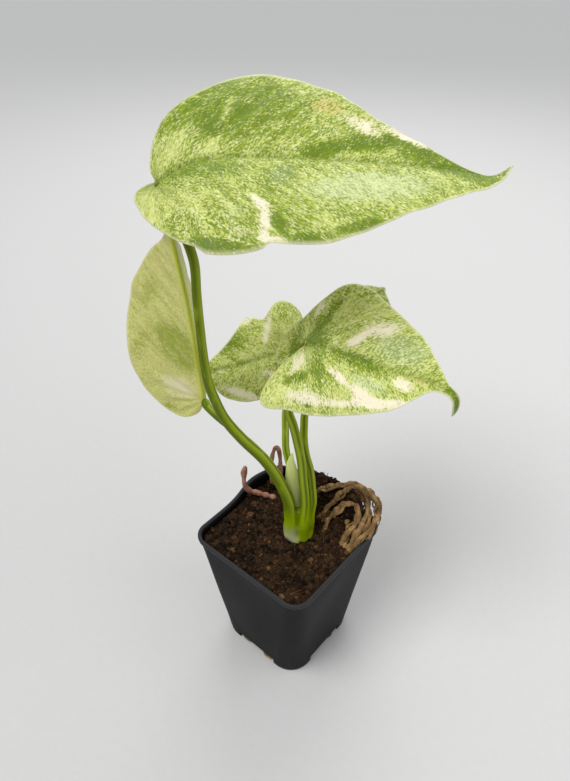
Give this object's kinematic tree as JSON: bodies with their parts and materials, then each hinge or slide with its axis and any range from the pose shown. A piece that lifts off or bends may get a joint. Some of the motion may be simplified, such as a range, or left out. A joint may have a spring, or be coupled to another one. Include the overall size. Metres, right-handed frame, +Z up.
{
  "type": "potted variegated aroid house plant",
  "caption": "Young variegated climbing aroid with heart-shaped drip-tip blades on channelled stalks, standing in a small square tapered nursery pot with peat soil and bare roots.",
  "frame": {"origin": "centre of the pot's foot, on the surface that it stands on", "axes": "+Z up along the pot; +X and +Y square to two of the pot's sides"},
  "size_m": [0.1414, 0.1172, 0.2745],
  "materials": {
    "pot_plastic": "thin moulded black plastic, satin, with a slightly worn, lighter rim",
    "peat": "moist brown peat crumbs with fibres",
    "stem_green": "smooth, cream on one side and green on the other",
    "stalk_green": "smooth waxy green with paler edges along the channel",
    "sheath_cream": "thin smooth cream sheath, slightly translucent",
    "blade_variegated": "satin leaf, speckled and splashed with cream, lime and dark green, cream margin",
    "root_tan": "matte fleshy root, tan with darker stains",
    "root_pink": "matte fleshy root, pinkish tan"
  },
  "bodies": {
    "root": {"pot": "pot_plastic", "soil": "peat", "stem": "stem_green", "stalk_top": "stalk_green", "stalk_left": "stalk_green", "stalk_back_left": "stalk_green", "stalk_front_right": "stalk_green", "stalk_back_right": "stalk_green", "blade_top": "blade_variegated", "blade_left": "blade_variegated", "blade_back_left": "blade_variegated", "blade_front_right": "blade_variegated", "blade_back_right": "blade_variegated", "sheath": "sheath_cream", "roots_corner": "root_tan", "root_climbing": "root_pink", "root_arched": "root_pink"}
  },
  "joints": []
}
